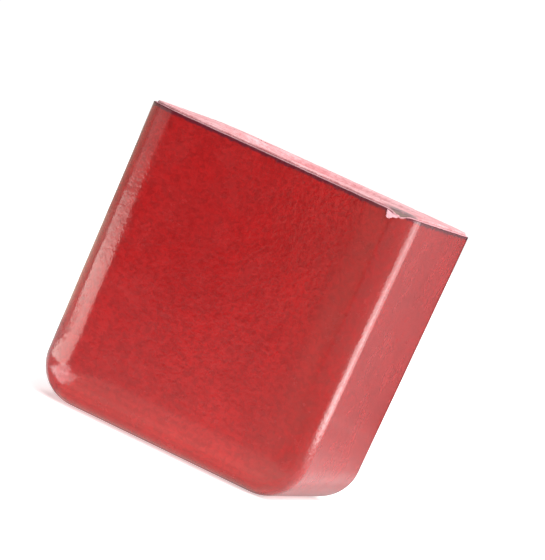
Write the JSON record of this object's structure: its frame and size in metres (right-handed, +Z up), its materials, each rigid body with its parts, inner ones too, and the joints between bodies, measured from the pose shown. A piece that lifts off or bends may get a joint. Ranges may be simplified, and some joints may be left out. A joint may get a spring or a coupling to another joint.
{
  "type": "cue chalk cube",
  "caption": "Block of pressed red cue chalk with a shallow dish for the cue tip, pasted into a glossy red film-faced paper wrap with rounded edges.",
  "frame": {"origin": "middle of the flat base of the wrap", "axes": "+Z up towards the chalk's dished top, -Y towards the front side, +X to the right"},
  "size_m": [0.0222, 0.0222, 0.0233],
  "materials": {
    "chalk": "matt, fine open grain with pale dust",
    "paste": "dull dried paste",
    "label_paper": "uncoated cut edge",
    "film": "high gloss laminated film"
  },
  "bodies": {
    "root": {"chalk_block": "chalk", "glue_film": "paste", "paper_backing": "label_paper", "red_film": "film"}
  },
  "joints": []
}
